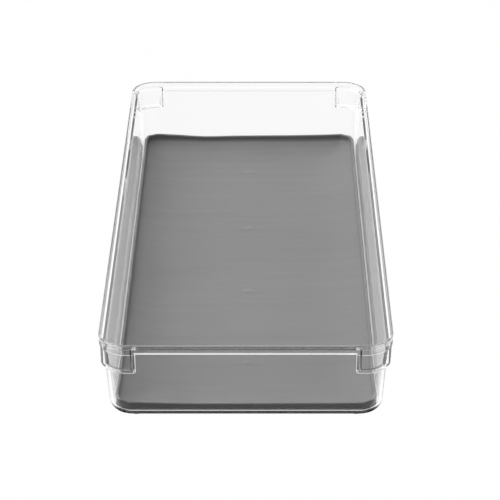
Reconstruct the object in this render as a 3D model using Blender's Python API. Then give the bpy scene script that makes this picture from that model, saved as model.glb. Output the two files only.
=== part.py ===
"""Clear stackable fridge bin with a coved soft-grip floor liner and four round feet.

The tray is one moulding: a drafted body with a rounded lower edge, a stepped rim band all round, and a
stepped-out pocket at each corner whose floor is the ledge that the next bin stands on. The origin is at
the centre of the footprint, on the surface the feet stand on; +X is across the bin, +Y runs to its back.
"""

import bmesh
import bpy

MM = 0.001

# Overall size
RIM_WIDTH = 166.0 * MM
RIM_LENGTH = 370.0 * MM
TOTAL_HEIGHT = 52.2 * MM
FOOT_STANDOFF = 2.0 * MM

# Walls of the tray, measured inwards from the rim's outer face
WALL = 2.0 * MM
RIM_THICKNESS = 1.8 * MM
BAND_HEIGHT = 6.0 * MM
BAND_RECESS = 3.0 * MM
BODY_INSET_TOP = 2.5 * MM
BODY_INSET_BOTTOM = 5.3 * MM

# Rounding
RIM_CORNER = 16.5 * MM
BODY_CORNER = 13.0 * MM
BODY_FILLET = 7.0 * MM
RIM_EDGE = 0.6 * MM
BAND_LOWER_EDGE = 1.2 * MM

# Corner pockets and their stacking ledges
POCKET_INSET = 0.5 * MM
POCKET_DEPTH = 18.8 * MM
POCKET_ACROSS = 20.7 * MM
POCKET_ALONG = 13.0 * MM
POCKET_FILLET = 2.0 * MM

# Liner
GAP = 0.3 * MM
LINER_SIDE_GAP = 2.25 * MM
LINER_THICKNESS = 1.3 * MM
LINER_LIP_THICKNESS = 1.6 * MM
LINER_LIP_HEIGHT = 8.0 * MM
LINER_COVE = 4.0 * MM
GATE_RADIUS = 1.4 * MM
GATE_DEPTH = 0.3 * MM
GATE_PITCH = 85.5 * MM
GATE_SHIFT = 4.5 * MM
GATE_COUNT = 4

# Feet
FOOT_RADIUS = 5.2 * MM
FOOT_SEAT_DEPTH = 0.5 * MM
FOOT_EDGE = 0.5 * MM
FOOT_FROM_SIDE = 20.0 * MM
FOOT_FROM_END = 17.5 * MM

# How far a cutter runs past the face that it opens
OVERRUN = 6.0 * MM

# Facets
CORNER_SEGMENTS = 8
FILLET_SEGMENTS = 5
EDGE_SEGMENTS = 2
FOOT_SIDES = 32
GATE_SIDES = 16
SMOOTH_ANGLE = 0.6

SHELL_BOTTOM = FOOT_STANDOFF
FLOOR_TOP = SHELL_BOTTOM + WALL
BAND_BOTTOM = TOTAL_HEIGHT - BAND_HEIGHT
POCKET_BOTTOM = TOTAL_HEIGHT - POCKET_DEPTH
DRAFT = (BODY_INSET_BOTTOM - BODY_INSET_TOP) / (BAND_BOTTOM - SHELL_BOTTOM)


def clear_scene():
    """Remove whatever objects the file holds."""
    for item in list(bpy.data.objects):
        bpy.data.objects.remove(item, do_unlink=True)


def new_collection(name):
    """Make a collection under the scene's own."""
    collection = bpy.data.collections.new(name)
    bpy.context.scene.collection.children.link(collection)
    return collection


def make_material(name, colour, roughness, transmission=0.0, ior=1.5):
    """A Principled material; nothing on the bin is metal."""
    material = bpy.data.materials.new(name)
    material.use_nodes = True
    shader = material.node_tree.nodes["Principled BSDF"]
    shader.inputs["Base Color"].default_value = (*colour, 1.0)
    shader.inputs["Metallic"].default_value = 0.0
    shader.inputs["Roughness"].default_value = roughness
    shader.inputs["Transmission Weight"].default_value = transmission
    shader.inputs["IOR"].default_value = ior
    material.diffuse_color = (*colour, 1.0)
    return material


def body_inset(z):
    """Inset of the drafted outer wall at height z."""
    return BODY_INSET_BOTTOM - DRAFT * (z - SHELL_BOTTOM)


def add_object(name, mesh_builder, collection):
    """Turn a finished bmesh into an object in a collection."""
    mesh = bpy.data.meshes.new(name)
    mesh_builder.to_mesh(mesh)
    mesh_builder.free()
    item = bpy.data.objects.new(name, mesh)
    collection.objects.link(item)
    return item


def vertical_edges(builder):
    """The edges that join the lower and the upper face of a block."""
    def spans(edge):
        low, high = sorted(vert.co.z for vert in edge.verts)
        return high - low > GAP
    return [edge for edge in builder.edges if spans(edge)]


def level_edges(builder, z):
    """The edges that lie at height z."""
    def level(edge):
        return all(abs(vert.co.z - z) < GAP / 10 for vert in edge.verts)
    return [edge for edge in builder.edges if level(edge)]


def bevel(builder, edges, width, segments):
    """Round a set of edges."""
    bmesh.ops.bevel(builder, geom=edges, offset=width, offset_type="OFFSET", segments=segments,
                    profile=0.5, affect="EDGES", clamp_overlap=True)


def rounded_block(name, collection, low, high, inset_low, inset_high, corner, bottom=0.0, top=0.0):
    """A block with the rim's outline, inset by one amount at its foot and another at its top.

    corner rounds the upright edges, bottom and top round the lower and the upper edge.
    """
    builder = bmesh.new()
    bmesh.ops.create_cube(builder, size=1.0)
    for vert in builder.verts:
        upper = vert.co.z > 0
        inset = inset_high if upper else inset_low
        vert.co.x = (RIM_WIDTH - 2 * inset) * vert.co.x
        vert.co.y = (RIM_LENGTH - 2 * inset) * vert.co.y
        vert.co.z = high if upper else low
    bevel(builder, vertical_edges(builder), corner, CORNER_SEGMENTS)
    if bottom:
        segments = FILLET_SEGMENTS if bottom > POCKET_FILLET else EDGE_SEGMENTS
        bevel(builder, level_edges(builder, low), bottom, segments)
    if top:
        bevel(builder, level_edges(builder, high), top, EDGE_SEGMENTS)
    return add_object(name, builder, collection)


def body_block(name, collection, offset, low, high, bottom):
    """A drafted block whose sides lie a distance inside the tray's outer wall."""
    return rounded_block(name, collection, low, high, body_inset(low) + offset, body_inset(high) + offset,
                         BODY_CORNER - offset, bottom)


def corner_boxes(name, collection, across, along, low, high):
    """Four plain boxes, one over each corner of the rim, of the given reach."""
    builder = bmesh.new()
    for side in (-1, 1):
        for end in (-1, 1):
            made = bmesh.ops.create_cube(builder, size=1.0)
            for vert in made["verts"]:
                reach_x = -OVERRUN if vert.co.x * side > 0 else across
                reach_y = -OVERRUN if vert.co.y * end > 0 else along
                vert.co.x = side * (RIM_WIDTH / 2 - reach_x)
                vert.co.y = end * (RIM_LENGTH / 2 - reach_y)
                vert.co.z = high if vert.co.z > 0 else low
    bmesh.ops.recalc_face_normals(builder, faces=builder.faces)
    return add_object(name, builder, collection)


def cylinder(name, collection, centre, radius, low, high, sides, edge=0.0):
    """An upright cylinder, with its lower edge rounded when edge is given."""
    builder = bmesh.new()
    bmesh.ops.create_cone(builder, cap_ends=True, segments=sides, radius1=radius, radius2=radius,
                          depth=high - low)
    bmesh.ops.translate(builder, verts=builder.verts, vec=(0.0, 0.0, (high - low) / 2))
    if edge:
        bevel(builder, level_edges(builder, 0.0), edge, EDGE_SEGMENTS)
    item = add_object(name, builder, collection)
    item.location = (centre[0], centre[1], low)
    return item


def boolean(item, operation, other):
    """Add an exact Boolean modifier."""
    modifier = item.modifiers.new(operation.title(), "BOOLEAN")
    modifier.operation = operation
    modifier.solver = "EXACT"
    modifier.object = other


def hide_cutter(item):
    """Mark an object as a construction guide."""
    item.hide_render = True
    item.display_type = "WIRE"
    return item


def smooth(item):
    """Shade the rounded faces smooth and keep the real edges sharp."""
    item.data.shade_smooth()
    item.data.set_sharp_from_angle(angle=SMOOTH_ANGLE)


def finish(item, material):
    """Give a sub-part its material and shading."""
    item.data.materials.append(material)
    smooth(item)


def pocket_band(name, cutters, inset, wall, low, high, fillet):
    """The outline of the corner pockets, cut back to its four corners."""
    band = rounded_block(name, cutters, low, high, inset, inset, RIM_CORNER - inset, fillet)
    reach = corner_boxes(name + "_reach", cutters, POCKET_ACROSS - wall, POCKET_ALONG - wall,
                         low - OVERRUN, high + OVERRUN)
    boolean(band, "INTERSECT", hide_cutter(reach))
    return hide_cutter(band)


def outer_additions(cutters):
    """What stands out from the tray's drafted body: the rim band and the corner pockets."""
    band = rounded_block("rim_band", cutters, BAND_BOTTOM, TOTAL_HEIGHT, 0.0, 0.0, RIM_CORNER,
                         BAND_LOWER_EDGE, RIM_EDGE)
    pockets = pocket_band("pockets_outside", cutters, POCKET_INSET, 0.0, POCKET_BOTTOM,
                          BAND_BOTTOM + BAND_LOWER_EDGE * 1.5, POCKET_FILLET)
    return [pockets, hide_cutter(band)]


def inner_hollows(cutters):
    """The hollow inside the tray: its body, the rim's recess and the corner pockets."""
    top = TOTAL_HEIGHT + OVERRUN
    body = body_block("hollow", cutters, WALL, FLOOR_TOP, top, BODY_FILLET - WALL)
    recess = rounded_block("rim_recess", cutters, TOTAL_HEIGHT - BAND_RECESS, top + OVERRUN,
                           RIM_THICKNESS, RIM_THICKNESS, RIM_CORNER - RIM_THICKNESS)
    pockets = pocket_band("pockets_inside", cutters, POCKET_INSET + WALL, WALL, POCKET_BOTTOM + WALL,
                          top + OVERRUN * 2, 0.0)
    return [hide_cutter(body), hide_cutter(recess), pockets]


def foot_centres():
    """Name and place of each foot."""
    x = RIM_WIDTH / 2 - FOOT_FROM_SIDE
    y = RIM_LENGTH / 2 - FOOT_FROM_END
    return {
        "foot_front_left": (-x, -y),
        "foot_front_right": (x, -y),
        "foot_back_left": (-x, y),
        "foot_back_right": (x, y),
    }


def make_shell(parts, cutters, material):
    """The clear tray."""
    shell = body_block("bin_shell", parts, 0.0, SHELL_BOTTOM, BAND_BOTTOM + BAND_HEIGHT / 2, BODY_FILLET)
    for extra in outer_additions(cutters):
        boolean(shell, "UNION", extra)
    for hollow in inner_hollows(cutters):
        boolean(shell, "DIFFERENCE", hollow)
    for name, centre in foot_centres().items():
        socket = cylinder(name + "_socket", cutters, centre, FOOT_RADIUS + GAP, SHELL_BOTTOM - OVERRUN,
                          SHELL_BOTTOM + FOOT_SEAT_DEPTH + GAP, FOOT_SIDES)
        boolean(shell, "DIFFERENCE", hide_cutter(socket))
    finish(shell, material)
    return shell


def make_liner(parts, cutters, material):
    """The soft-grip mat: a flat floor with a coved lip that stands just inside the wall."""
    low = FLOOR_TOP + GAP
    high = low + LINER_LIP_HEIGHT
    outside = WALL + LINER_SIDE_GAP
    liner = body_block("floor_liner", parts, outside, low, high, BODY_FILLET - outside)
    hollow = body_block("liner_hollow", cutters, outside + LINER_LIP_THICKNESS, low + LINER_THICKNESS,
                        high + OVERRUN, LINER_COVE)
    boolean(liner, "DIFFERENCE", hide_cutter(hollow))
    surface = low + LINER_THICKNESS
    for index in range(GATE_COUNT):
        y = GATE_SHIFT + (index - (GATE_COUNT - 1) / 2) * GATE_PITCH
        gate = cylinder(f"gate_{index + 1}", cutters, (0.0, y), GATE_RADIUS, surface - GATE_DEPTH,
                        surface + OVERRUN, GATE_SIDES)
        boolean(liner, "DIFFERENCE", hide_cutter(gate))
    finish(liner, material)
    return liner


def make_feet(parts, material):
    """Four round non-slip feet, seated in sockets under the floor."""
    for name, centre in foot_centres().items():
        foot = cylinder(name, parts, centre, FOOT_RADIUS, 0.0, SHELL_BOTTOM + FOOT_SEAT_DEPTH, FOOT_SIDES,
                        FOOT_EDGE)
        finish(foot, material)


def main():
    clear_scene()
    parts = new_collection("fridge_bin")
    cutters = new_collection("fridge_bin_cutters")
    clear_plastic = make_material("clear_plastic", (0.96, 0.97, 0.97), 0.04, transmission=1.0, ior=1.57)
    liner_grey = make_material("liner_grey", (0.25, 0.25, 0.25), 0.75)
    foot_grey = make_material("foot_grey", (0.06, 0.06, 0.06), 0.8)
    make_shell(parts, cutters, clear_plastic)
    make_liner(parts, cutters, liner_grey)
    make_feet(parts, foot_grey)


main()
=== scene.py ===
"""Looks of the fridge bin: a clear moulded tray, its coved soft-grip liner and four feet, on a pale floor.

All lengths are in metres in the row's frame: +X across the bin, +Y to its back, +Z up, floor at zero.
"""

import math

import bmesh
import bpy
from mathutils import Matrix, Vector


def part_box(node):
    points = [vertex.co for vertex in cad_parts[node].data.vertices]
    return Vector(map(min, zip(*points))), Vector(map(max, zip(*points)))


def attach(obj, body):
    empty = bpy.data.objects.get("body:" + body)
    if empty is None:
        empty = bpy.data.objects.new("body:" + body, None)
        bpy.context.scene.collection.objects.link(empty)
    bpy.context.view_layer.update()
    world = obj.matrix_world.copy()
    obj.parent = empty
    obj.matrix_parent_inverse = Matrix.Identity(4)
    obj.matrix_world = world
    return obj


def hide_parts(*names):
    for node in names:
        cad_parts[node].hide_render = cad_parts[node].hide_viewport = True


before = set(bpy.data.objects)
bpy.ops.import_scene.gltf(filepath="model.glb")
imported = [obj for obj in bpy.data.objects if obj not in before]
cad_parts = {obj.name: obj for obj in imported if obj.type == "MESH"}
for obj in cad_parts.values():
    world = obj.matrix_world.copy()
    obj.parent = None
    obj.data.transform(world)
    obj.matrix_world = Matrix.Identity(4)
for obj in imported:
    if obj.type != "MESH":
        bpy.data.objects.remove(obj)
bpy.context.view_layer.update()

MM = 0.001
SHELL_LOW, SHELL_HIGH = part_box("bin_shell")
LINER_LOW, LINER_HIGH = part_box("floor_liner")
FEET = ("foot_front_left", "foot_front_right", "foot_back_left", "foot_back_right")

# The tray's own dimensions, beside its box
HALF_WIDTH = SHELL_HIGH.x
HALF_LENGTH = SHELL_HIGH.y
TOP = SHELL_HIGH.z
BOTTOM = SHELL_LOW.z
WALL = 2.0 * MM
RIM_THICKNESS = 1.8 * MM
BAND_HEIGHT = 6.0 * MM
BAND_RECESS = 3.0 * MM
BODY_INSET_TOP = 2.5 * MM
BODY_INSET_BOTTOM = 5.3 * MM
RIM_CORNER = 16.5 * MM
BODY_CORNER = 13.0 * MM
BODY_FILLET = 7.0 * MM
RIM_EDGE = 0.6 * MM
RIM_ROOT = 0.35 * MM
BAND_TAPER = 34.0
BAND_TAPER_IN = 1.45 * MM
POCKET_TAPER_IN = 0.42 * MM
TAPER_EDGE = 0.25 * MM
RIM_INNER_EDGE = 0.25 * MM
SMALL_EDGE = 0.4 * MM
POCKET_INNER_EDGE = 0.3 * MM

POCKET_INSET = 0.5 * MM
POCKET_DEPTH = 18.8 * MM
POCKET_ACROSS = 20.7 * MM
POCKET_ALONG = 13.0 * MM
POCKET_FILLET = 2.3 * MM
POCKET_ROOT = 0.4 * MM
LEDGE_ROOT = 0.9 * MM
POCKET_END = 1.05 * MM

GAP = 0.3 * MM
LINER_SIDE_GAP = 1.3 * MM
LINER_THICKNESS = 1.3 * MM
LIP_THICKNESS = 2.0 * MM
LIP_EDGE = 0.6 * MM
COVE = 1.8 * MM
SLOPE = 14.0
SLOPE_RISE = 3.4 * MM
LEAST_CORNER = 4.0 * MM

# The lip's top edge: a sag along the front, a bow and a dip along the back, and a slight ripple all round
LIP_END_FROM = 0.8
LIP_END_OVER = 0.15
FRONT_SAG = 0.85 * MM
FRONT_SAG_MIDDLE = 0.9 * MM
BACK_RISE = 1.15 * MM
BACK_BOW = 1.3 * MM
BACK_BOW_REACH = 64 * MM
BACK_DIP = 0.7 * MM
BACK_DIP_PLACE = -32 * MM
BACK_DIP_WIDTH = 15 * MM
RIPPLE = 0.12 * MM
RIPPLE_X = (71, 0.7)
RIPPLE_Y = (37, 1.9)

# Moulding marks on the liner's centre line, with the paler halo and darker smear beside each
GATE_COUNT = 4
GATE_PITCH = 85.5 * MM
GATE_SHIFT = 4.5 * MM
GATE_PROFILE_MM = ((0.0, -0.5), (2.0, -0.5), (2.0, 0.0), (1.8, 0.16), (1.5, 0.3), (1.15, 0.34), (0.85, 0.2),
                   (0.7, 0.05), (0.0, 0.02))
GATE_HALO = (4.0 * MM, 3.2 * MM)
GATE_SMEAR = (13.0 * MM, 2.2 * MM)
GATE_SMEAR_SHIFT = (1.5 * MM, -3.2 * MM)

# Feet: a dished underside and small edges
FOOT_EDGE = 0.4 * MM
FOOT_TOP_EDGE = 0.2 * MM
FOOT_DISH = ((0.0, 0.3 * MM), (2.6 * MM, 0.3 * MM), (3.0 * MM, 0.2 * MM), (3.3 * MM, 0.03 * MM),
             (3.5 * MM, 0.0))
SOCKET_EDGE = 0.2 * MM
SOCKET_OVERRUN = 5 * MM

BAND_BOTTOM = TOP - BAND_HEIGHT
POCKET_BOTTOM = TOP - POCKET_DEPTH
LEDGE_TOP = POCKET_BOTTOM + WALL
RECESS_FLOOR = TOP - BAND_RECESS
DRAFT = (BODY_INSET_BOTTOM - BODY_INSET_TOP) / (BAND_BOTTOM - BOTTOM)
DRAFT_ANGLE = math.atan(DRAFT)

# The light table's glow, painted light standing in for a lit table, in metres along Y and X where it grows;
# it is dimmer on the camera's side as painted shade, and the patch under the bin that is dark is a painted
# shadow.
# The patch of painted shadow reaches further back than the bin, where the liner's gap to the walls is looked
# through.
TABLE_GLOW = 1.05
TABLE_FRONT_GLOW = 0.24
TABLE_FRONT = (-0.185, -0.178)
TABLE_SIDE = (0.095, 0.130)
SHADE_INSET_SIDE = 5.0 * MM
SHADE_INSET_END = 7.3 * MM
SHADE_SHIFT = 10.0 * MM
SHADE_CORNER = 8.0 * MM
SHADE_EDGE = 0.5 * MM

# The surround: where it is brightest, and how bright it is there and away from there
WORLD_AXIS = (-0.25, 0.62, 0.60)
WORLD_FROM = (-0.35, 0.45)
WORLD_GLOW = (0.08, 1.2)

SOFTBOX_PLACE = (-1.1, 0.4, 1.5)
SOFTBOX_TARGET = (0.0, 0.0, 0.0)
SOFTBOX_SIZE = (1.6, 1.2)
SOFTBOX_POWER = 35.0
FLOOR_HALF = 8.0
FLOOR_CELLS = 8
TABLE_DROP = 0.2 * MM

# The camera stands in front of the bin and looks down at it
CAMERA_LENS = 144.0
CAMERA_SENSOR = 36.0
CAMERA_SHIFT = -0.0212
CAMERA_PLACE = (0.00826, -1.1379, 0.6235)
CAMERA_TILT = 61.831
CAMERA_CLIP = (0.05, 50.0)

# Light paths: the plastic is many layers deep along the walls
BOUNCES = 32
GLOSSY_BOUNCES = 16
DIFFUSE_BOUNCES = 6
GLOSSY_BLUR = 0.2

# Liner tones (linear grey) and how the noise for its streaks is stretched
LINER_DARK = 0.136
LINER_PALE = 0.160
SMEAR_GREY = 0.115
HALO_GREY = 0.200
STREAK_SCALE = (9.0, 130.0, 9.0)
FOOT_DARK = 0.04
FOOT_PALE = 0.055

# Stations of the loft, in mm from the middle of each wall; the pocket ends need close ones
LAST_ACROSS = 65.6 * MM
LAST_ALONG = 175.0 * MM
ARC_STEPS = 24
FILLET_STEPS = 12
WALL_ROWS = (9.4 * MM, 11 * MM, 16 * MM, 22 * MM, 28 * MM)
TRAY_SHARP = 40
LINER_SHARP = 35
FOOT_SHARP = 40
ON_AXIS = 1e-7


def body_inset(z):
    """Inset of the drafted outer wall at height z."""
    return BODY_INSET_BOTTOM - DRAFT * (z - BOTTOM)


def smoothstep(t):
    t = min(1.0, max(0.0, t))
    return t * t * (3.0 - 2.0 * t)


def spread(low, high, count):
    """count evenly spaced values from low to high, both included."""
    return [low + (high - low) * k / (count - 1) for k in range(count)]


class Station:
    """One column of the loft in the quarter where x and y are positive."""

    def __init__(self, kind, at):
        self.kind = kind
        self.at = at


def stations(across, along):
    """Columns from the middle of the end wall, round the corner, to the middle of the side wall."""
    made = [Station("across", x) for x in sorted(across)]
    made += [Station("arc", (k + 1) / (ARC_STEPS + 1)) for k in range(ARC_STEPS)]
    made += [Station("along", y) for y in sorted(along, reverse=True)]
    return made


def angle_of(station, inset, radius):
    """Angle round the corner, from the end wall's normal, or None on a straight stretch."""
    centre_x = HALF_WIDTH - inset - radius
    centre_y = HALF_LENGTH - inset - radius
    if station.kind == "across":
        beyond = station.at - centre_x
        return math.asin(beyond / radius) if beyond > 0 else None
    if station.kind == "along":
        beyond = station.at - centre_y
        return math.pi / 2 - math.asin(beyond / radius) if beyond > 0 else None
    first = math.asin(max(0.0, LAST_ACROSS - centre_x) / radius)
    last = math.pi / 2 - math.asin(max(0.0, LAST_ALONG - centre_y) / radius)
    return first + station.at * (last - first)


def plan_point(station, inset, radius, reference=None):
    """Where a column meets the rounded outline of a given inset and corner radius.

    With a reference (inset, radius), the column keeps that outline's share of the straight stretch or its
    angle, which is how the rows below the pockets close in on the floor.
    """
    centre_x = HALF_WIDTH - inset - radius
    centre_y = HALF_LENGTH - inset - radius
    ruler = reference or (inset, radius)
    angle = angle_of(station, *ruler)
    if angle is not None:
        return centre_x + radius * math.sin(angle), centre_y + radius * math.cos(angle)
    if station.kind == "across":
        share = centre_x / (HALF_WIDTH - sum(ruler)) if reference else 1.0
        return station.at * share, HALF_LENGTH - inset
    share = centre_y / (HALF_LENGTH - sum(ruler)) if reference else 1.0
    return HALF_WIDTH - inset, station.at * share


def loop_points(columns, place):
    """A closed loop from the quarter's columns: place(station) gives x, y, z there."""
    quarter = [place(station) for station in columns]
    inner = quarter[1:-1]
    loop = list(quarter)
    loop += [(x, -y, z) for x, y, z in reversed(inner)]
    loop += [(-x, -y, z) for x, y, z in quarter]
    loop += [(-x, y, z) for x, y, z in reversed(inner)]
    # The quarter starts on x = 0 and ends on y = 0, so the mirrored copies share no point.
    return loop


def loft(name, loops):
    """A closed mesh through the loops, capped at both ends."""
    builder = bmesh.new()
    rings = [[builder.verts.new(point) for point in loop] for loop in loops]
    for low, high in zip(rings, rings[1:]):
        count = len(low)
        for k in range(count):
            after = (k + 1) % count
            builder.faces.new((low[k], low[after], high[after], high[k]))
    builder.faces.new(rings[0])
    builder.faces.new(rings[-1])
    bmesh.ops.recalc_face_normals(builder, faces=builder.faces)
    mesh = bpy.data.meshes.new(name)
    builder.to_mesh(mesh)
    builder.free()
    item = bpy.data.objects.new(name, mesh)
    bpy.context.scene.collection.objects.link(item)
    return item


def lathe(name, profile, centre, steps=64):
    """A closed turned mesh from (radius, z) points; the first and last lie on the axis."""
    builder = bmesh.new()
    rings = []
    for radius, z in profile:
        if radius < ON_AXIS:
            rings.append([builder.verts.new((centre[0], centre[1], z))])
        else:
            rings.append([builder.verts.new((centre[0] + radius * math.cos(2 * math.pi * k / steps),
                                             centre[1] + radius * math.sin(2 * math.pi * k / steps), z))
                          for k in range(steps)])
    for low, high in zip(rings, rings[1:]):
        for k in range(steps):
            after = (k + 1) % steps
            corners = [low[k % len(low)], low[after % len(low)], high[after % len(high)], high[k % len(high)]]
            unique = list(dict.fromkeys(corners))
            builder.faces.new(unique)
    bmesh.ops.recalc_face_normals(builder, faces=builder.faces)
    mesh = bpy.data.meshes.new(name)
    builder.to_mesh(mesh)
    builder.free()
    item = bpy.data.objects.new(name, mesh)
    bpy.context.scene.collection.objects.link(item)
    return item


def combine(item, operation, others):
    """Bake exact Booleans with the others into item and drop them."""
    for other in others:
        modifier = item.modifiers.new(operation.title(), "BOOLEAN")
        modifier.operation = operation
        modifier.solver = "EXACT"
        modifier.object = other
    bpy.context.view_layer.update()
    result = item.evaluated_get(bpy.context.evaluated_depsgraph_get())
    mesh = bpy.data.meshes.new_from_object(result)
    item.modifiers.clear()
    old = item.data
    item.data = mesh
    bpy.data.meshes.remove(old)
    mesh.name = item.name
    for other in others:
        bpy.data.objects.remove(other, do_unlink=True)


def shade(item, degrees):
    item.data.shade_smooth()
    item.data.set_sharp_from_angle(angle=math.radians(degrees))


def arc(centre_inset, centre_z, radius, first, last, steps):
    """(inset, z) points on an arc; angle 0 points outwards and 90 degrees points up."""
    points = []
    for angle in spread(math.radians(first), math.radians(last), steps + 1):
        points.append((centre_inset - radius * math.cos(angle), centre_z + radius * math.sin(angle)))
    return points


# ---------------------------------------------------------------------------------------------------------
# The clear tray

def fillet_centre(offset):
    """Inset of the centre line of the lower edge's rounding, for a wall face offset inwards."""
    radius = BODY_FILLET - offset
    z = BOTTOM + BODY_FILLET
    return body_inset(z) + offset + radius / math.cos(DRAFT_ANGLE)


def lower_rows(offset):
    """(inset, z, corner) rows from the flat floor up to the drafted wall, on a face offset inwards."""
    radius = BODY_FILLET - offset
    centre = fillet_centre(offset)
    centre_z = BOTTOM + BODY_FILLET
    rows = [(centre + 1.5 * MM, centre_z - radius), (centre + 0.4 * MM, centre_z - radius)]
    rows += arc(centre, centre_z, radius, -90.0, -math.degrees(DRAFT_ANGLE), FILLET_STEPS)
    made = []
    for inset, z in rows:
        wall = body_inset(z) + offset
        made.append((inset, z, BODY_CORNER - offset - (inset - wall)))
    return made


def pocket_share(station, margin):
    """0 on the plain walls, 1 in the corner pockets, with a short rounded step between."""
    if station.kind == "arc":
        return 1.0
    if station.kind == "across":
        edge = HALF_WIDTH - POCKET_ACROSS + margin
    else:
        edge = HALF_LENGTH - POCKET_ALONG + margin
    return smoothstep((station.at - edge) / POCKET_END + 0.5)


def shell_rows():
    """Every row of the loft, as (plain, pocket, margin, reference).

    plain and pocket are (inset, z, corner radius) on the walls and in the pockets; pocket is None where the
    two are alike. margin shifts the pocket's end, and reference is plan_point's.
    """
    rows = []

    # Outside, from the middle of the underside up
    outer_reference_z = POCKET_BOTTOM - 2.4 * MM
    outer_reference = (body_inset(outer_reference_z), BODY_CORNER)
    for row in lower_rows(0.0):
        rows.append((row, None, 0.0, outer_reference))
    for z in WALL_ROWS + (outer_reference_z - 0.5 * MM,):
        rows.append(((body_inset(z), z, BODY_CORNER), None, 0.0, outer_reference))

    def plain(z, offset):
        return body_inset(z) + offset, z, BODY_CORNER - offset

    def outer_pair(inset, z, plain_z):
        rows.append((plain(plain_z, 0.0), (inset, z, RIM_CORNER - inset), 0.0, None))

    rows.append((plain(outer_reference_z, 0.0), None, 0.0, None))
    root = POCKET_ROOT
    low = POCKET_BOTTOM - root
    section = [(body_inset(low - 0.5 * MM), low - 0.5 * MM)]
    wall = body_inset(low)
    for angle in spread(0.0, 90.0, 5):
        a = math.radians(angle)
        section.append((wall - root + root * math.cos(a), low + root * math.sin(a)))
    section += arc(POCKET_INSET + POCKET_FILLET, POCKET_BOTTOM + POCKET_FILLET, POCKET_FILLET, -90, 0, 8)
    section += [(POCKET_INSET, POCKET_BOTTOM + POCKET_FILLET + 0.5 * MM)]
    count = len(section)
    first_z, last_z = section[0][1], section[-1][1]
    for k, (inset, z) in enumerate(section):
        outer_pair(inset, z, first_z + (last_z - first_z) * k / (count - 1))
    for z in spread(last_z, BAND_BOTTOM - 1.0 * MM, 4)[1:]:
        outer_pair(POCKET_INSET, z, z)

    # Under the rim band: a small root, a level face and a rounded lower edge
    top_inset = body_inset(BAND_BOTTOM)
    for angle in spread(0.0, 90.0, 4):
        a = math.radians(angle)
        r = SMALL_EDGE
        body = (top_inset - r + r * math.cos(a), BAND_BOTTOM - r + r * math.sin(a),
                BODY_CORNER + r * (1 - math.cos(a)))
        pr = POCKET_INSET - POCKET_TAPER_IN
        pocket = (POCKET_INSET - pr + pr * math.cos(a), BAND_BOTTOM - pr + pr * math.sin(a))
        rows.append((body, (pocket[0], pocket[1], RIM_CORNER - pocket[0]), 0.0, None))

    def taper(inwards):
        """(inset, z) from the level underside up the band's tapered lower edge to its outer face."""
        slant = math.radians(BAND_TAPER)
        height = inwards / math.tan(slant)
        turn = TAPER_EDGE * inwards / BAND_TAPER_IN
        points = [(inwards + turn, BAND_BOTTOM), (inwards + 0.3 * turn, BAND_BOTTOM + 0.1 * turn)]
        points += [(inwards - t * inwards, BAND_BOTTOM + t * height) for t in spread(0.15, 0.85, 3)]
        points += [(0.05 * inwards, BAND_BOTTOM + 0.94 * height), (0.0, BAND_BOTTOM + 1.1 * height)]
        return points

    for (inset, z), (pocket_inset, pocket_z) in zip(taper(BAND_TAPER_IN), taper(POCKET_TAPER_IN)):
        rows.append(((inset, z, RIM_CORNER - inset), (pocket_inset, pocket_z, RIM_CORNER - pocket_inset),
                     0.0, None))

    def rim(inset, z):
        rows.append(((inset, z, RIM_CORNER - inset), None, 0.0, None))

    edge = RIM_EDGE
    rim(0.0, TOP - edge - 0.5 * MM)
    for inset, z in arc(edge, TOP - edge, edge, 0, 90, 4):
        rim(inset, z)
    inner = RIM_INNER_EDGE
    for inset, z in arc(RIM_THICKNESS - inner, TOP - inner, inner, 90, 180, 4):
        rim(inset, z)
    rim(RIM_THICKNESS, TOP - inner - 0.5 * MM)
    rim(RIM_THICKNESS, RECESS_FLOOR + 0.8 * MM)

    # Inside: the recess, its level step, the wall, and in the pockets the stacking ledge
    margin = WALL
    root = RIM_ROOT
    for angle in spread(0.0, 90.0, 4):
        a = math.radians(angle)
        rim(RIM_THICKNESS + root - root * math.cos(a), RECESS_FLOOR + root - root * math.sin(a))
    pocket_inset = POCKET_INSET + WALL
    start = RIM_THICKNESS + root
    edge = SMALL_EDGE
    z = RECESS_FLOOR
    wall = body_inset(z) + WALL
    pocket_edge = POCKET_INNER_EDGE
    rows.append(((wall - edge - 0.2 * MM, z, RIM_CORNER - (wall - edge - 0.2 * MM)),
                 (start + 0.02 * MM, z, RIM_CORNER - start), margin, None))
    for angle in spread(90.0, 0.0, 5):
        a = math.radians(angle)
        body = (wall - edge + edge * math.cos(a), z - edge + edge * math.sin(a))
        pocket = (pocket_inset - pocket_edge + pocket_edge * math.cos(a),
                  z - pocket_edge + pocket_edge * math.sin(a))
        rows.append(((body[0], body[1], BODY_CORNER - WALL + (wall - body[0])),
                     (pocket[0], pocket[1], RIM_CORNER - pocket[0]), margin, None))

    def inner_pair(inset, z, plain_z):
        rows.append((plain(plain_z, WALL), (inset, z, RIM_CORNER - inset), margin, None))

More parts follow.
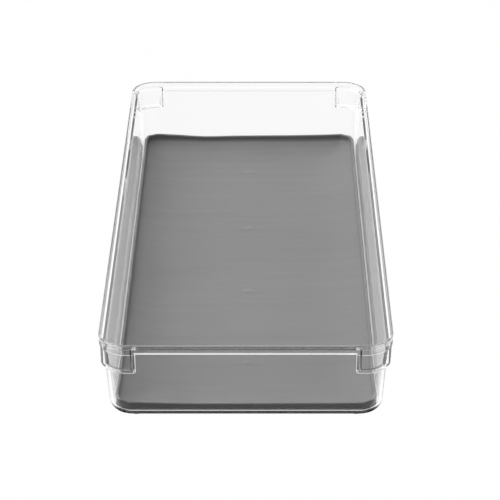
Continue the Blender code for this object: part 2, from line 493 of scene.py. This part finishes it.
    for z in spread(RECESS_FLOOR - 1.0 * MM, LEDGE_TOP + 1.6 * MM, 4):
        inner_pair(pocket_inset, z, z)
    section = []
    for angle in spread(0.0, 90.0, 6):
        a = math.radians(angle)
        section.append((pocket_inset + LEDGE_ROOT - LEDGE_ROOT * math.cos(a),
                        LEDGE_TOP + LEDGE_ROOT - LEDGE_ROOT * math.sin(a)))
    edge = SMALL_EDGE
    wall = body_inset(LEDGE_TOP) + WALL
    section.append((wall - edge - 0.15 * MM, LEDGE_TOP))
    for angle in spread(90.0, 0.0, 5):
        a = math.radians(angle)
        section.append((wall - edge + edge * math.cos(a), LEDGE_TOP - edge + edge * math.sin(a)))
    count = len(section)
    first_z, last_z = section[0][1], section[-1][1]
    for k, (inset, z) in enumerate(section):
        inner_pair(inset, z, first_z + (last_z - first_z) * k / (count - 1))
    inner_reference_z = last_z - 0.6 * MM
    inner_reference = (body_inset(inner_reference_z) + WALL, BODY_CORNER - WALL)
    rows.append((plain(inner_reference_z, WALL), None, margin, None))
    for z in reversed(WALL_ROWS):
        rows.append((plain(z, WALL), None, margin, inner_reference))
    for row in reversed(lower_rows(WALL)):
        rows.append((row, None, margin, inner_reference))
    return rows


def shell_stations():
    """Close columns at the ends of the pockets, wide ones on the plain walls."""
    half_step = POCKET_END * 0.75
    across = spread(0.0, 56 * MM, 8) + [59.5 * MM, 61.0 * MM]
    along = spread(0.0, 156 * MM, 14) + [162 * MM, 166 * MM, 168.5 * MM, 170 * MM, 171 * MM]
    for low, values in ((HALF_WIDTH - POCKET_ACROSS, across), (HALF_LENGTH - POCKET_ALONG, along)):
        for margin in (0.0, WALL):
            values += spread(low + margin - half_step, low + margin + half_step, 13)
        values.append(low + WALL / 2)
    across.append(LAST_ACROSS)
    along.append(LAST_ALONG)
    return stations(across, along)


def make_shell():
    columns = shell_stations()
    loops = []
    for plain, pocket, margin, reference in shell_rows():
        def place(station):
            x, y = plan_point(station, plain[0], plain[2], reference)
            z = plain[1]
            if pocket is None:
                return x, y, z
            share = pocket_share(station, margin)
            px, py = plan_point(station, pocket[0], pocket[2], reference)
            return x + (px - x) * share, y + (py - y) * share, z + (pocket[1] - z) * share
        loops.append(loop_points(columns, place))
    shell = loft("clear_tray", loops)
    sockets = []
    for name in FEET:
        low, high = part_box(name)
        centre = (low + high) / 2
        radius = (high.x - low.x) / 2 + GAP
        roof = high.z + GAP
        floor = BOTTOM - SOCKET_OVERRUN
        profile = [(0.0, floor), (radius, floor), (radius, roof - SOCKET_EDGE), (radius - SOCKET_EDGE, roof),
                   (0.0, roof)]
        sockets.append(lathe(name + "_socket", profile, centre))
    combine(shell, "DIFFERENCE", sockets)
    shade(shell, TRAY_SHARP)
    return shell


# ---------------------------------------------------------------------------------------------------------
# The liner

def lip_lift(x, y):
    """How far the soft lip's top edge wanders above or below its nominal height."""
    end = smoothstep((abs(y) - LIP_END_FROM * HALF_LENGTH) / (LIP_END_OVER * HALF_LENGTH))
    if y < 0:
        bow = -FRONT_SAG - FRONT_SAG_MIDDLE * math.cos(math.pi * x / (2 * HALF_WIDTH))
    else:
        dip = math.exp(-((x - BACK_DIP_PLACE) / BACK_DIP_WIDTH) ** 2)
        bow = BACK_RISE + BACK_BOW * (x / BACK_BOW_REACH) ** 2 - BACK_DIP * dip
    across = RIPPLE * math.sin(x * RIPPLE_X[0] + RIPPLE_X[1])
    along = RIPPLE * math.sin(y * RIPPLE_Y[0] + RIPPLE_Y[1])
    return bow * end + (across + along)


def make_liner():
    across = spread(0.0, 60 * MM, 13) + [LAST_ACROSS]
    along = spread(0.0, 168 * MM, 29)
    columns = stations(across, along + [LAST_ALONG - 3 * MM])
    outside = WALL + LINER_SIDE_GAP
    inside = outside + LIP_THICKNESS
    reference = (body_inset(LINER_HIGH.z) + inside, BODY_CORNER - inside)
    lip = LINER_HIGH.z
    surface = LINER_LOW.z + LINER_THICKNESS
    edge = LIP_EDGE
    rows = []

    def row(inset, z, lift=None):
        """A row whose corner radius shrinks with its inset from the drafted wall."""
        share = smoothstep((z - surface) / (lip - surface)) if lift is None else lift
        rows.append((inset, z, max(BODY_CORNER - inset + body_inset(z), LEAST_CORNER), share))

    under = BODY_FILLET - outside
    centre = body_inset(LINER_LOW.z + under) + outside + under
    row(centre + 4.0 * MM, LINER_LOW.z, 0.0)
    for inset, z in arc(centre, LINER_LOW.z + under, under, -90.0, 0.0, 8):
        row(inset, z)
    row(body_inset(lip - edge - 0.4 * MM) + outside, lip - edge - 0.4 * MM, 1.0)
    wall = body_inset(lip) + outside
    for inset, z in arc(wall + edge, lip - edge, edge, 0, 90, 4):
        row(inset, z, 1.0)
    for inset, z in arc(wall + LIP_THICKNESS - edge, lip - edge, edge, 90, 180, 4):
        row(inset, z, 1.0)
    # Inside: a tight cove at the lip's foot, then a slope that flattens out into the floor
    centre = wall + LIP_THICKNESS + COVE
    height = surface + SLOPE_RISE + COVE * math.cos(math.radians(SLOPE))
    for angle in spread(180.0, 270.0 - SLOPE, 9):
        a = math.radians(angle)
        row(centre + COVE * math.cos(a), height + COVE * math.sin(a))
    start = centre - COVE * math.sin(math.radians(SLOPE))
    run = 2 * SLOPE_RISE / math.tan(math.radians(SLOPE))
    for share in spread(0.0, 1.0, 7)[1:]:
        row(start + run * share, surface + SLOPE_RISE * (1 - share) ** 2)

    loops = []
    for inset, z, corner, lift in rows:
        def place(station):
            x, y = plan_point(station, inset, corner, reference)
            return x, y, z
        points = loop_points(columns, place)
        loops.append([(x, y, z + lift * lip_lift(x, y)) for x, y, z in points])
    liner = loft("soft_grip_liner", loops)
    marks = []
    for index in range(GATE_COUNT):
        y = GATE_SHIFT + (index - (GATE_COUNT - 1) / 2) * GATE_PITCH
        profile = [(r * MM, surface + h * MM) for r, h in GATE_PROFILE_MM]
        marks.append(lathe(f"gate_{index}", profile, (0.0, y), 32))
    combine(liner, "UNION", marks)
    shade(liner, LINER_SHARP)
    return liner


# ---------------------------------------------------------------------------------------------------------
# The feet

def make_foot(name):
    low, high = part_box(name)
    centre = (low + high) / 2
    radius = (high.x - low.x) / 2
    edge = FOOT_EDGE
    profile = [(r, low.z + h) for r, h in FOOT_DISH]
    for angle in spread(-90.0, 0.0, 6):
        a = math.radians(angle)
        profile.append((radius - edge + edge * math.cos(a), low.z + edge + edge * math.sin(a)))
    profile += [(radius, high.z - FOOT_TOP_EDGE), (radius - FOOT_TOP_EDGE, high.z), (0.0, high.z)]
    foot = lathe(name.replace("foot_", "foot_pad_"), profile, centre)
    shade(foot, FOOT_SHARP)
    return foot


# ---------------------------------------------------------------------------------------------------------
# Materials

def new_material(name):
    material = bpy.data.materials.new(name)
    material.use_nodes = True
    tree = material.node_tree
    return material, tree, tree.nodes["Principled BSDF"]


def noise(tree, scale, detail=2.0, roughness=0.5, vector=None):
    node = tree.nodes.new("ShaderNodeTexNoise")
    node.inputs["Scale"].default_value = scale
    node.inputs["Detail"].default_value = detail
    node.inputs["Roughness"].default_value = roughness
    if vector is not None:
        tree.links.new(vector, node.inputs["Vector"])
    return node.outputs["Fac"]


def remap(tree, value, low, high, from_low=0.3, from_high=0.7):
    node = tree.nodes.new("ShaderNodeMapRange")
    for key, number in (("From Min", from_low), ("From Max", from_high), ("To Min", low), ("To Max", high)):
        node.inputs[key].default_value = number
    tree.links.new(value, node.inputs["Value"])
    return node.outputs["Result"]


def bump(tree, height, strength, distance):
    node = tree.nodes.new("ShaderNodeBump")
    node.inputs["Strength"].default_value = strength
    node.inputs["Distance"].default_value = distance
    tree.links.new(height, node.inputs["Height"])
    return node.outputs["Normal"]


def vector_math(tree, operation, first, second=None):
    node = tree.nodes.new("ShaderNodeVectorMath")
    node.operation = operation
    tree.links.new(first, node.inputs[0])
    if second is not None:
        node.inputs[1].default_value = second
    return node.outputs["Value" if operation in ("LENGTH", "DOT_PRODUCT") else "Vector"]


def clear_plastic():
    """Clear polished plastic with the faint waviness and handling marks of a moulding."""
    material, tree, shader = new_material("clear_polished_plastic")
    shader.inputs["Base Color"].default_value = (0.97, 0.97, 0.97, 1.0)
    shader.inputs["Transmission Weight"].default_value = 1.0
    shader.inputs["IOR"].default_value = 1.57
    place = tree.nodes.new("ShaderNodeTexCoord").outputs["Object"]
    smudge = noise(tree, 60.0, 3.0, 0.55, place)
    tree.links.new(remap(tree, smudge, 0.0, 0.012), shader.inputs["Roughness"])
    wave = noise(tree, 14.0, 1.0, 0.4, place)
    tree.links.new(bump(tree, wave, 0.004, 0.0005), shader.inputs["Normal"])
    return material


def gate_spot(tree, place, shift, radii, strength):
    """The given strength beside each gate mark, fading to zero over the radii."""
    split = tree.nodes.new("ShaderNodeSeparateXYZ")
    tree.links.new(place, split.inputs["Vector"])
    wrap = tree.nodes.new("ShaderNodeMath")
    wrap.operation = "WRAP"
    tree.links.new(split.outputs["Y"], wrap.inputs[0])
    wrap.inputs[1].default_value = GATE_SHIFT + GATE_PITCH
    wrap.inputs[2].default_value = GATE_SHIFT
    join = tree.nodes.new("ShaderNodeCombineXYZ")
    tree.links.new(split.outputs["X"], join.inputs["X"])
    tree.links.new(wrap.outputs[0], join.inputs["Y"])
    centre = (shift[0], GATE_SHIFT + GATE_PITCH / 2 + shift[1], 0.0)
    offset = vector_math(tree, "SUBTRACT", join.outputs["Vector"], centre)
    scaled = vector_math(tree, "MULTIPLY", offset, (1 / radii[0], 1 / radii[1], 0.0))
    fade = tree.nodes.new("ShaderNodeMapRange")
    fade.interpolation_type = "SMOOTHSTEP"
    fade.inputs["To Min"].default_value = strength
    fade.inputs["To Max"].default_value = 0.0
    tree.links.new(vector_math(tree, "LENGTH", scaled), fade.inputs["Value"])
    return fade.outputs["Result"]


def soft_grip():
    """Matt grey soft-grip compound: fine grain, faint flow bands, a halo and a smear at each gate mark."""
    material, tree, shader = new_material("soft_grip_grey")
    place = tree.nodes.new("ShaderNodeTexCoord").outputs["Object"]
    flow = noise(tree, 7.0, 3.0, 0.6, place)
    drawn = tree.nodes.new("ShaderNodeMapping")
    drawn.inputs["Scale"].default_value = STREAK_SCALE
    tree.links.new(place, drawn.inputs["Vector"])
    streaks = noise(tree, 1.0, 4.0, 0.6, drawn.outputs["Vector"])
    fine = noise(tree, 900.0, 2.0, 0.6, place)
    both = tree.nodes.new("ShaderNodeMath")
    both.operation = "ADD"
    tree.links.new(remap(tree, flow, 0.0, 0.45), both.inputs[0])
    tree.links.new(remap(tree, streaks, 0.0, 0.55), both.inputs[1])
    mix = tree.nodes.new("ShaderNodeMix")
    mix.data_type = "RGBA"
    mix.inputs["A"].default_value = (LINER_DARK, LINER_DARK, LINER_DARK, 1.0)
    mix.inputs["B"].default_value = (LINER_PALE, LINER_PALE, LINER_PALE, 1.0)
    tree.links.new(both.outputs[0], mix.inputs["Factor"])
    tone = mix.outputs["Result"]
    for shift, radii, strength, grey in ((GATE_SMEAR_SHIFT, GATE_SMEAR, 0.5, SMEAR_GREY),
                                         ((0.0, 0.0), GATE_HALO, 0.8, HALO_GREY)):
        spot = tree.nodes.new("ShaderNodeMix")
        spot.data_type = "RGBA"
        tree.links.new(gate_spot(tree, place, shift, radii, strength), spot.inputs["Factor"])
        tree.links.new(tone, spot.inputs["A"])
        spot.inputs["B"].default_value = (grey, grey, grey, 1.0)
        tone = spot.outputs["Result"]
    tree.links.new(tone, shader.inputs["Base Color"])
    tree.links.new(remap(tree, fine, 0.62, 0.8), shader.inputs["Roughness"])
    shader.inputs["Specular IOR Level"].default_value = 0.3
    tree.links.new(bump(tree, fine, 0.15, 0.00003), shader.inputs["Normal"])
    return material


def foot_rubber():
    """Dark grey non-slip foot."""
    material, tree, shader = new_material("foot_rubber")
    place = tree.nodes.new("ShaderNodeTexCoord").outputs["Object"]
    fine = noise(tree, 1400.0, 2.0, 0.6, place)
    tone = remap(tree, fine, 0.0, 1.0)
    mix = tree.nodes.new("ShaderNodeMix")
    mix.data_type = "RGBA"
    mix.inputs["A"].default_value = (FOOT_DARK, FOOT_DARK, FOOT_DARK, 1.0)
    mix.inputs["B"].default_value = (FOOT_PALE, FOOT_PALE, FOOT_PALE, 1.0)
    tree.links.new(tone, mix.inputs["Factor"])
    tree.links.new(mix.outputs["Result"], shader.inputs["Base Color"])
    shader.inputs["Roughness"].default_value = 0.7
    tree.links.new(bump(tree, fine, 0.3, 0.00008), shader.inputs["Normal"])
    return material


def painted_light_table_material():
    """Matt light table whose glow is painted light: bright round the bin, dim on the camera's side as painted
    shade and dark under the bin as a painted shadow.
    """
    material, tree, shader = new_material("painted_light_table")
    place = tree.nodes.new("ShaderNodeTexCoord").outputs["Object"]
    fine = noise(tree, 40.0, 3.0, 0.5, place)
    tree.links.new(remap(tree, fine, 0.7, 0.8), shader.inputs["Roughness"])
    shader.inputs["Base Color"].default_value = (0.0, 0.0, 0.0, 1.0)
    shader.inputs["Specular IOR Level"].default_value = 0.0
    shader.inputs["Emission Color"].default_value = (1.0, 1.0, 1.0, 1.0)
    # Painted shadow under the bin: the glow is zero inside a rounded patch shifted back, and rises over
    # SHADE_EDGE at its border.
    corner = SHADE_CORNER
    half = (HALF_WIDTH - SHADE_INSET_SIDE - corner,
            HALF_LENGTH - SHADE_INSET_END + SHADE_SHIFT - corner, 1.0)
    shifted = vector_math(tree, "SUBTRACT", place, (0.0, SHADE_SHIFT, 0.0))
    folded = vector_math(tree, "ABSOLUTE", shifted)
    beyond = vector_math(tree, "MAXIMUM", vector_math(tree, "SUBTRACT", folded, half), (0.0, 0.0, 0.0))
    distance = vector_math(tree, "LENGTH", beyond)
    beyond_painted_shadow = remap(tree, distance, 0.0, 1.0, corner, corner + SHADE_EDGE)
    # Painted shade on the camera's side: the glow drops to TABLE_FRONT_GLOW in front of the bin, away from
    # its sides.
    apart = tree.nodes.new("ShaderNodeSeparateXYZ")
    tree.links.new(place, apart.inputs[0])
    forward = remap(tree, apart.outputs["Y"], TABLE_FRONT_GLOW, TABLE_GLOW, *TABLE_FRONT)
    aside = tree.nodes.new("ShaderNodeSeparateXYZ")
    tree.links.new(folded, aside.inputs[0])
    sideways = remap(tree, aside.outputs["X"], TABLE_FRONT_GLOW, TABLE_GLOW, *TABLE_SIDE)
    brighter = tree.nodes.new("ShaderNodeMath")
    brighter.operation = "MAXIMUM"
    tree.links.new(forward, brighter.inputs[0])
    tree.links.new(sideways, brighter.inputs[1])
    product = tree.nodes.new("ShaderNodeMath")
    product.operation = "MULTIPLY"
    tree.links.new(beyond_painted_shadow, product.inputs[0])
    tree.links.new(brighter.outputs[0], product.inputs[1])
    tree.links.new(product.outputs[0], shader.inputs["Emission Strength"])
    return material


def backdrop_material():
    """Plain pale floor that the bin is seen against."""
    material, tree, shader = new_material("pale_floor")
    place = tree.nodes.new("ShaderNodeTexCoord").outputs["Object"]
    fine = noise(tree, 3.0, 2.0, 0.5, place)
    tree.links.new(remap(tree, fine, 0.995, 1.0), shader.inputs["Emission Strength"])
    shader.inputs["Base Color"].default_value = (0.0, 0.0, 0.0, 1.0)
    shader.inputs["Specular IOR Level"].default_value = 0.0
    shader.inputs["Emission Color"].default_value = (1.0, 1.0, 1.0, 1.0)
    return material


# ---------------------------------------------------------------------------------------------------------
# Studio

def make_floor(name, material, z):
    """A wide level plane, staged as part of the studio."""
    builder = bmesh.new()
    bmesh.ops.create_grid(builder, x_segments=FLOOR_CELLS, y_segments=FLOOR_CELLS, size=FLOOR_HALF)
    bmesh.ops.translate(builder, verts=builder.verts, vec=(0.0, 0.0, z))
    mesh = bpy.data.meshes.new(name)
    builder.to_mesh(mesh)
    builder.free()
    floor = bpy.data.objects.new(name, mesh)
    bpy.context.scene.collection.objects.link(floor)
    floor.data.materials.append(material)
    return floor


def make_floors():
    """The floor as the camera sees it, and the light table that the bin itself sees in its place, whose glow
    is painted light with painted shade and a painted shadow.
    """
    seen = make_floor("studio_floor", backdrop_material(), 0.0)
    seen.visible_diffuse = False
    seen.visible_glossy = False
    seen.visible_transmission = False
    seen.visible_shadow = False
    table = make_floor("painted_light_table", painted_light_table_material(), -TABLE_DROP)
    table.visible_camera = False


def make_world():
    """Soft surround: bright above, behind and beside the bin, dim on the camera's side."""
    world = bpy.data.worlds.new("studio")
    bpy.context.scene.world = world
    world.use_nodes = True
    tree = world.node_tree
    back = tree.nodes["Background"]
    place = tree.nodes.new("ShaderNodeTexCoord").outputs["Generated"]
    toward = vector_math(tree, "DOT_PRODUCT", place, WORLD_AXIS)
    glow = remap(tree, toward, *WORLD_GLOW, *WORLD_FROM)
    tree.links.new(glow, back.inputs["Strength"])
    back.inputs["Color"].default_value = (1.0, 1.0, 1.0, 1.0)


def make_softbox():
    """A large soft light from the upper left, behind the bin."""
    data = bpy.data.lights.new("softbox", "AREA")
    data.shape = "RECTANGLE"
    data.size, data.size_y = SOFTBOX_SIZE
    data.energy = SOFTBOX_POWER
    item = bpy.data.objects.new("softbox", data)
    bpy.context.scene.collection.objects.link(item)
    item.location = SOFTBOX_PLACE
    item.rotation_mode = "QUATERNION"
    item.rotation_quaternion = (Vector(SOFTBOX_TARGET) - Vector(SOFTBOX_PLACE)).to_track_quat("-Z", "Y")


def make_camera():
    data = bpy.data.cameras.new("camera")
    data.lens = CAMERA_LENS
    data.sensor_width = CAMERA_SENSOR
    data.shift_x = CAMERA_SHIFT
    data.clip_start, data.clip_end = CAMERA_CLIP
    camera = bpy.data.objects.new("camera", data)
    bpy.context.scene.collection.objects.link(camera)
    camera.location = CAMERA_PLACE
    camera.rotation_euler = (math.radians(CAMERA_TILT), 0.0, 0.0)
    bpy.context.scene.camera = camera


def main():
    make_camera()
    make_floors()
    make_world()
    make_softbox()
    shell = make_shell()
    shell.data.materials.append(clear_plastic())
    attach(shell, "root")
    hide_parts("bin_shell")
    liner = make_liner()
    liner.data.materials.append(soft_grip())
    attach(liner, "root")
    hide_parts("floor_liner")
    rubber = foot_rubber()
    for name in FEET:
        foot = make_foot(name)
        foot.data.materials.append(rubber)
        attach(foot, "root")
        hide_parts(name)
    scene = bpy.context.scene
    scene.view_settings.view_transform = "Standard"
    scene.cycles.max_bounces = BOUNCES
    scene.cycles.transmission_bounces = BOUNCES
    scene.cycles.glossy_bounces = GLOSSY_BOUNCES
    scene.cycles.diffuse_bounces = DIFFUSE_BOUNCES
    scene.cycles.blur_glossy = GLOSSY_BLUR


main()
